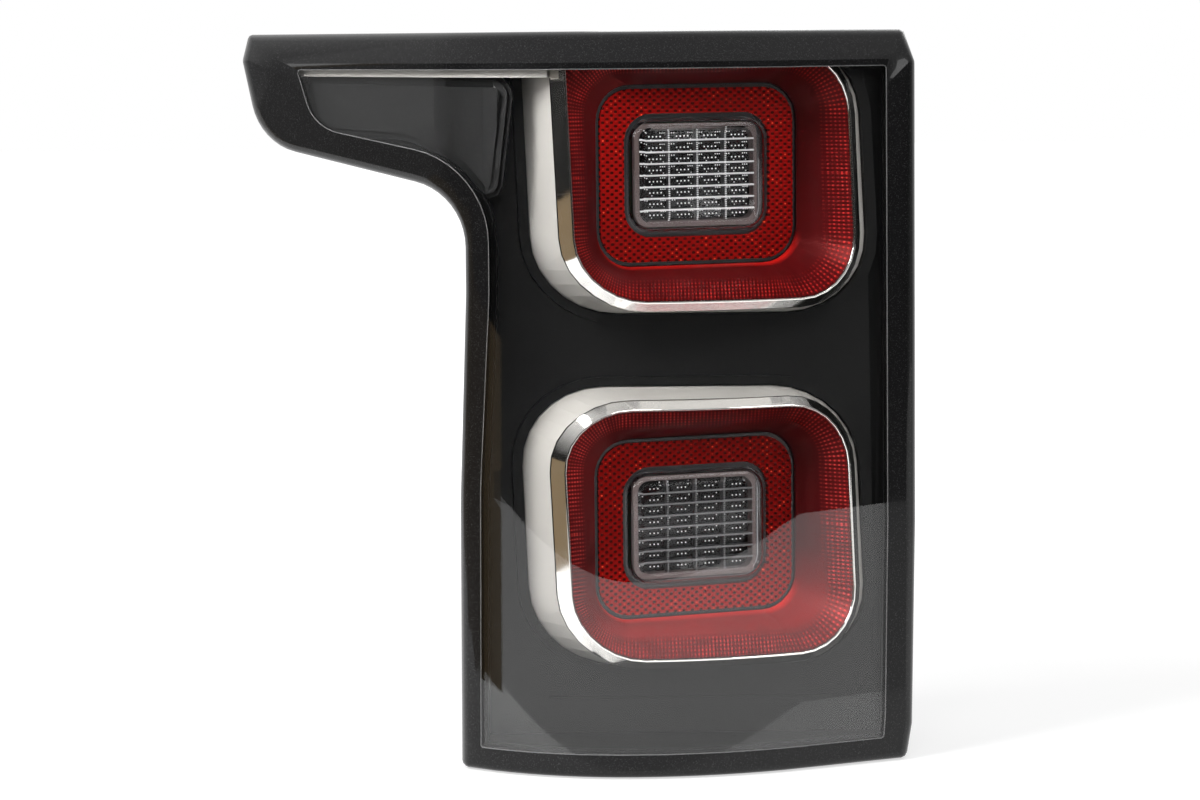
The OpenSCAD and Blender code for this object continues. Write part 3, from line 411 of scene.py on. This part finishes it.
def piece_from(name, bm, finish, slot, *replaced, angle=35):
    """A visible piece from a mesh, smooth but for edges sharper than the angle in degrees."""
    data = bpy.data.meshes.new(name)
    bm.normal_update()
    bm.to_mesh(data)
    bm.free()
    data.materials.append(finish.material)
    obj = bpy.data.objects.new(name, data)
    scene.collection.objects.link(obj)
    for face in data.polygons:
        face.use_smooth = True
    data.set_sharp_from_angle(angle=radians(angle))
    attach(obj, "root")
    if replaced:
        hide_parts(*replaced)
    return obj


def dressed(node, finish, slot, angle, bevel=0.0, bands=0, even=False):
    """A merged copy of a node with smooth shading and softened edges, standing in its place."""
    bm = merged_copy(node)
    if bands:
        # level cuts give the smooth shading even faces
        low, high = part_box(node)
        for band in range(1, bands):
            z = low.z + (high.z - low.z) * band / bands
            bmesh.ops.bisect_plane(bm, geom=bm.verts[:] + bm.edges[:] + bm.faces[:], dist=1e-6,
                                   plane_co=(0, 0, z), plane_no=(0, 0, 1))
    obj = piece_from(node + "_finished", bm, finish, slot, node, angle=angle)
    if bevel:
        soft = obj.modifiers.new("soft_edges", "BEVEL")
        soft.width = bevel
        soft.segments = 2
        soft.limit_method = "ANGLE"
        soft.angle_limit = radians(40)
    if even:
        # large faces keep their own shading beside small ones
        weighted = obj.modifiers.new("even_shading", "WEIGHTED_NORMAL")
        weighted.keep_sharp = not bevel
        weighted.weight = 80
    return obj


def draw_out_strip(surround):
    """The silver strip along the top of the wing runs on to the bright rim."""
    for vert in surround.data.vertices:
        at_end = abs(vert.co.x - STRIP_END) < 0.0002
        if at_end and vert.co.z > STRIP_LOW and vert.co.y < STRIP_BACK:
            vert.co += STRIP_MORE


def window_seam(finish, slot):
    """A painted highlight: a light ribbon where the clear window meets its black border, just under the
    face, standing for the light caught along that edge.
    """
    bm = merged_copy("lens_window")
    bm.normal_update()
    not_front = [face for face in bm.faces if face.normal.y > -0.5]
    bmesh.ops.delete(bm, geom=not_front, context="FACES")
    ring = bmesh.ops.inset_region(bm, faces=bm.faces, thickness=SEAM_W,
                                  use_boundary=True, use_even_offset=True)
    inner = [face for face in bm.faces if face not in set(ring["faces"])]
    bmesh.ops.delete(bm, geom=inner, context="FACES")
    bmesh.ops.translate(bm, vec=(0, SEAM_UNDER, 0), verts=bm.verts)
    bmesh.ops.solidify(bm, geom=bm.faces, thickness=SEAM_THICK)
    bmesh.ops.recalc_face_normals(bm, faces=bm.faces)
    piece_from("window_seam", bm, finish, slot)


def in_unit(unit):
    return Matrix.Translation(UNITS[unit]) @ Matrix.Rotation(AIM, 4, "Z")


def small_block(bm, centre, size, place):
    """A block with its edges cut off."""
    made = bmesh.ops.create_cube(bm, size=1.0)
    bmesh.ops.scale(bm, vec=size, verts=made["verts"])
    edges = list(dict.fromkeys(edge for vert in made["verts"] for edge in vert.link_edges))
    cut = bmesh.ops.bevel(bm, geom=edges, offset=CUT, segments=1, affect="EDGES", profile=0.5,
                          material=-1)
    verts = list(dict.fromkeys(vert for face in cut["faces"] for vert in face.verts))
    bmesh.ops.translate(bm, vec=centre, verts=verts)
    bmesh.ops.transform(bm, matrix=place, verts=verts)


def bright_bars(unit, finish, slot):
    """Bars between the rows of cells and lines of beads between the columns."""
    bm = bmesh.new()
    place = in_unit(unit)
    for row in range(1, CELL_ROWS):
        z = (row - CELL_ROWS / 2) * CELL_H
        small_block(bm, (0, -0.00035, z), (CELL_COLUMNS * CELL_W, BAR_DEPTH, BAR_H), place)
    for column in range(1, CELL_COLUMNS):
        x = (column - CELL_COLUMNS / 2) * CELL_W
        for step in range(CELL_ROWS * BEADS_PER_CELL):
            z = (step + 0.5) * CELL_H / BEADS_PER_CELL - CELL_ROWS * CELL_H / 2
            small_block(bm, (x, 0.0001, z), BEAD, place)
    piece_from(unit + "_bars", bm, finish, slot)


def light_dots(unit, finish, slot, groups):
    """Small bright dots in every cell; a group has their places across, one height and one radius."""
    bm = bmesh.new()
    place = in_unit(unit)
    for row in range(CELL_ROWS):
        for column in range(CELL_COLUMNS):
            x = (column + 0.5 - CELL_COLUMNS / 2) * CELL_W
            z = (row + 0.5 - CELL_ROWS / 2) * CELL_H
            for offsets, lift, radius in groups:
                for offset in offsets:
                    made = bmesh.ops.create_icosphere(bm, subdivisions=1, radius=radius)
                    centre = (x + offset, DOT_DEPTH, z + lift)
                    bmesh.ops.translate(bm, vec=centre, verts=made["verts"])
                    bmesh.ops.transform(bm, matrix=place, verts=made["verts"])
    piece_from(unit + "_dots", bm, finish, slot)


# The studio
def ray_masks(shading):
    """Two masks: rays from the camera, also through clear parts, and rays mirrored once or more."""
    math = shading.math
    rays = shading.node("LightPath").outputs
    no_matt = math("LESS_THAN", rays["Diffuse Depth"], 0.5)
    no_mirror = math("LESS_THAN", rays["Glossy Depth"], 0.5)
    straight = math("MAXIMUM", rays["Is Camera Ray"], rays["Is Transmission Ray"])
    seen = shading.product(straight, no_mirror, no_matt)
    any_path = math("MAXIMUM", straight, rays["Is Glossy Ray"])
    mirrored = shading.product(any_path, math("SUBTRACT", 1.0, no_mirror), no_matt)
    return seen, mirrored


def floor_material():
    material = bpy.data.materials.new("floor_pale")
    shading = Shading(material)
    matt = shading.node("BsdfDiffuse", color=(0.5, 0.5, 0.5, 1)).outputs["BSDF"]
    # near the lamp the floor keeps the shadow; far off it is as white as the background
    reach = shading.node("VectorMath")
    reach.operation = "LENGTH"
    shading.link(shading.node("TexCoord").outputs["Object"], reach, 0)
    fade = shading.carry(reach.outputs["Value"], 0.45, 1.6, 0.62, 1.0)
    # what the lamp mirrors of it is even
    seen, mirrored = ray_masks(shading)
    strength = shading.node("Mix")
    shading.link(mirrored, strength, 0)
    shading.link(fade, strength, 2)
    strength.inputs[3].default_value = 0.95
    glow = shading.node("Emission")
    shading.link(strength.outputs[0], glow, "Strength")
    both = shading.node("AddShader")
    shading.link(matt, both, 0)
    shading.link(glow.outputs["Emission"], both, 1)
    lit = shading.math("MAXIMUM", seen, mirrored)
    shading.link(shading.either(lit, matt, both.outputs["Shader"]), shading.out, "Surface")
    return material


def make_floor():
    bm = bmesh.new()
    bmesh.ops.create_grid(bm, x_segments=1, y_segments=1, size=1.0)
    bmesh.ops.scale(bm, vec=(9, 9, 1), verts=bm.verts)
    bmesh.ops.translate(bm, vec=(0, 2, FLOOR_Z), verts=bm.verts)
    data = bpy.data.meshes.new("floor")
    bm.to_mesh(data)
    bm.free()
    data.materials.append(floor_material())
    floor = bpy.data.objects.new("floor", data)
    scene.collection.objects.link(floor)


def make_surroundings():
    """White to the camera. To gloss, white behind the lamp, dim before it and lighter overhead."""
    scene.world = bpy.data.worlds.new("studio")
    shading = Shading(scene.world, "OutputWorld")
    white = shading.node("Background", color=(1, 1, 1, 1)).outputs["Background"]
    room = shading.node("Background", color=(1, 1, 1, 1), strength=0.35).outputs["Background"]
    gloss = shading.node("Background")
    _, back, up = shading.split(shading.node("TexCoord").outputs["Generated"])
    behind = shading.carry(back, -0.1, 0.5, 0.02, 1.0)
    overhead = shading.carry(up, 0.2, 0.55, 0.02, 0.7)
    shading.link(shading.math("MAXIMUM", behind, overhead), gloss, "Color")
    seen, mirrored = ray_masks(shading)
    unseen = shading.either(mirrored, room, gloss.outputs["Background"])
    shading.link(shading.either(seen, unseen, white), shading.out, "Surface")


def card(name, bm, colour):
    """A sheet that only the gloss on the lamp mirrors."""
    material = bpy.data.materials.new(name + "_paint")
    shading = Shading(material)
    glow = shading.node("Emission", color=rgba(colour)).outputs["Emission"]
    shading.link(glow, shading.out, "Surface")
    data = bpy.data.meshes.new(name)
    bm.to_mesh(data)
    bm.free()
    data.materials.append(material)
    sheet = bpy.data.objects.new(name, data)
    scene.collection.objects.link(sheet)
    sheet.visible_camera = False
    sheet.visible_diffuse = False
    sheet.visible_shadow = False


def make_cards():
    """A brown card upright at the left, and a low white kerb round the floor."""
    card_place, card_h, card_length = (-1.5, -0.2, -0.0282), 0.375, 1.6
    kerb_radius, kerb_h = 2.2, 0.22
    bm = bmesh.new()
    bmesh.ops.create_grid(bm, x_segments=1, y_segments=1, size=0.5)
    bmesh.ops.scale(bm, vec=(card_h, card_length, 1), verts=bm.verts)
    upright = Matrix.Translation(card_place) @ Matrix.Rotation(radians(90), 4, "Y")
    bmesh.ops.transform(bm, matrix=upright, verts=bm.verts)
    card("brown_card", bm, (0.29, 0.215, 0.13))
    bm = bmesh.new()
    bmesh.ops.create_circle(bm, segments=64, radius=kerb_radius)
    bmesh.ops.translate(bm, vec=(0, 0, FLOOR_Z), verts=bm.verts)
    raised = bmesh.ops.extrude_edge_only(bm, edges=bm.edges)
    top = [part for part in raised["geom"] if isinstance(part, bmesh.types.BMVert)]
    bmesh.ops.translate(bm, vec=(0, 0, kerb_h), verts=top)
    card("white_kerb", bm, (1, 1, 1))


def softbox(name, place, aim_at, width, height, watts):
    data = bpy.data.lights.new(name, "AREA")
    data.shape = "RECTANGLE"
    data.size, data.size_y = width, height
    data.energy = watts
    lamp = bpy.data.objects.new(name, data)
    lamp.location = place
    lamp.rotation_euler = (Vector(aim_at) - Vector(place)).to_track_quat("-Z", "Y").to_euler()
    scene.collection.objects.link(lamp)


make_camera()
make_floor()
make_surroundings()
make_cards()
lens_middle = (0, -0.05, 0)
softbox("key", (-1.8, -1.2, 1.5), lens_middle, 1.0, 1.0, 60)
softbox("fill", (1.7, -1.6, 1.4), lens_middle, 1.0, 1.0, 12)
softbox("front", (-0.2, -2.4, 1.7), lens_middle, 1.2, 0.5, 12)
softbox("back", (0.6, 1.8, 1.2), (0, 0, 0), 1.4, 1.0, 16)

# Pieces that stand in for solids seen from the front
dressed("lens_border", border_black(), "black_border", angle=32)
dressed("lens_window", clear_plastic("clear_lens"), "clear_lens", angle=30, bands=40)
# painted highlight: a light grey ribbon for the light along the window's edge
window_seam(moulded("seam_painted_highlight", (0.17, 0.17, 0.17), 0.25), "clear_lens")
dressed("inner_bezel", bezel_grey(), "bezel_grey", angle=28, bevel=0.0009, even=True)
dressed("wing_panel", wing_satin(), "panel_grey", angle=28, even=True)
silver = satin_silver()
bright = chrome()
cap = clear_plastic("clear_cap", tint=(0.97, 0.97, 0.98), rough=0.02, ior=1.25)
for unit in UNITS:
    surround = dressed(unit + "_surround", silver, "satin_silver", angle=28, bevel=0.0004)
    if unit == "upper":
        draw_out_strip(surround)
    dressed(unit + "_chrome_rim", bright, "chrome", angle=30, bevel=0.0005)
    dressed(unit + "_bowl", red_bowl(unit), "red_bowl", angle=50)
    dressed(unit + "_reflex_ring", red_reflex(unit), "red_reflex", angle=30)
    dressed(unit + "_cap", cap, "clear_cap", angle=40)

# Bars and dots of the cells, which the scene adds
bright_bars("upper", moulded("bar_white", (0.86, 0.86, 0.85), 0.3), "cell_silver")
bright_bars("lower", moulded("bar_grey", (0.2, 0.2, 0.2), 0.35), "cell_dull")
# painted highlight: the dots glow a little, though no lamp is lit in them, for the light they catch
dot_painted_glow = moulded("dot_painted_glow", (0.9, 0.9, 0.88), 0.2,
                    emission_color=(1, 1, 1, 1), emission_strength=0.6)
light_dots("upper", dot_painted_glow, "cell_silver", (
    ((-0.0021, 0.0004, 0.0029, 0.0054), -0.0004, 0.00056),
    ((-0.0056, -0.0040), 0.0018, 0.00044),
    ((0.0052, 0.0066, 0.0080), 0.0018, 0.00042),
    ((-0.0008, 0.0072), -0.0022, 0.00034)))
light_dots("lower", dot_painted_glow, "cell_dull", (
    ((-0.0010, 0.0016, 0.0042), -0.0006, 0.0005),
    ((-0.0064,), 0.0016, 0.0004),
    ((0.0066,), 0.0016, 0.0004)))

# Solids that show as they are
paint(moulded("housing_black", (0.035, 0.035, 0.038), 0.5, 1200, 0.35),
      "housing", "driver_module", "connector_socket")
paint(moulded("seal_black", (0.02, 0.02, 0.02), 0.7), "lens_seal", "driver_seal", "vent_caps", "bumpers")
paint(moulded("foam_black", (0.03, 0.03, 0.03), 0.9, 700, 0.8), "stud_gaskets")
paint(moulded("carrier_black", (0.008, 0.008, 0.009), 0.35), "upper_carrier", "lower_carrier")
paint(moulded("optic_black", (0.006, 0.006, 0.0065), 0.14, 800, 0.05, specular_ior_level=0.2),
      "upper_optic", "lower_optic")
for unit in UNITS:
    paint(cell_plastic(unit), unit + "_cell_grid")
paint(moulded("board_green", (0.03, 0.12, 0.06), 0.4), "upper_board", "lower_board")
paint(moulded("led_yellow", (0.8, 0.62, 0.2), 0.3), "upper_leds", "lower_leds")
paint(metal("cast_alloy", (0.6, 0.61, 0.62), 0.45, 500),
      "upper_heat_sink", "lower_heat_sink", "driver_cover")
paint(metal("zinc", (0.66, 0.66, 0.66)), "unit_screws", "driver_screws", "fixing_studs")
paint(metal("terminal_metal", (0.75, 0.6, 0.3)), "socket_terminals")
paint(moulded("pin_white", (0.62, 0.61, 0.57), 0.45), "locating_pin", "wing_pin")
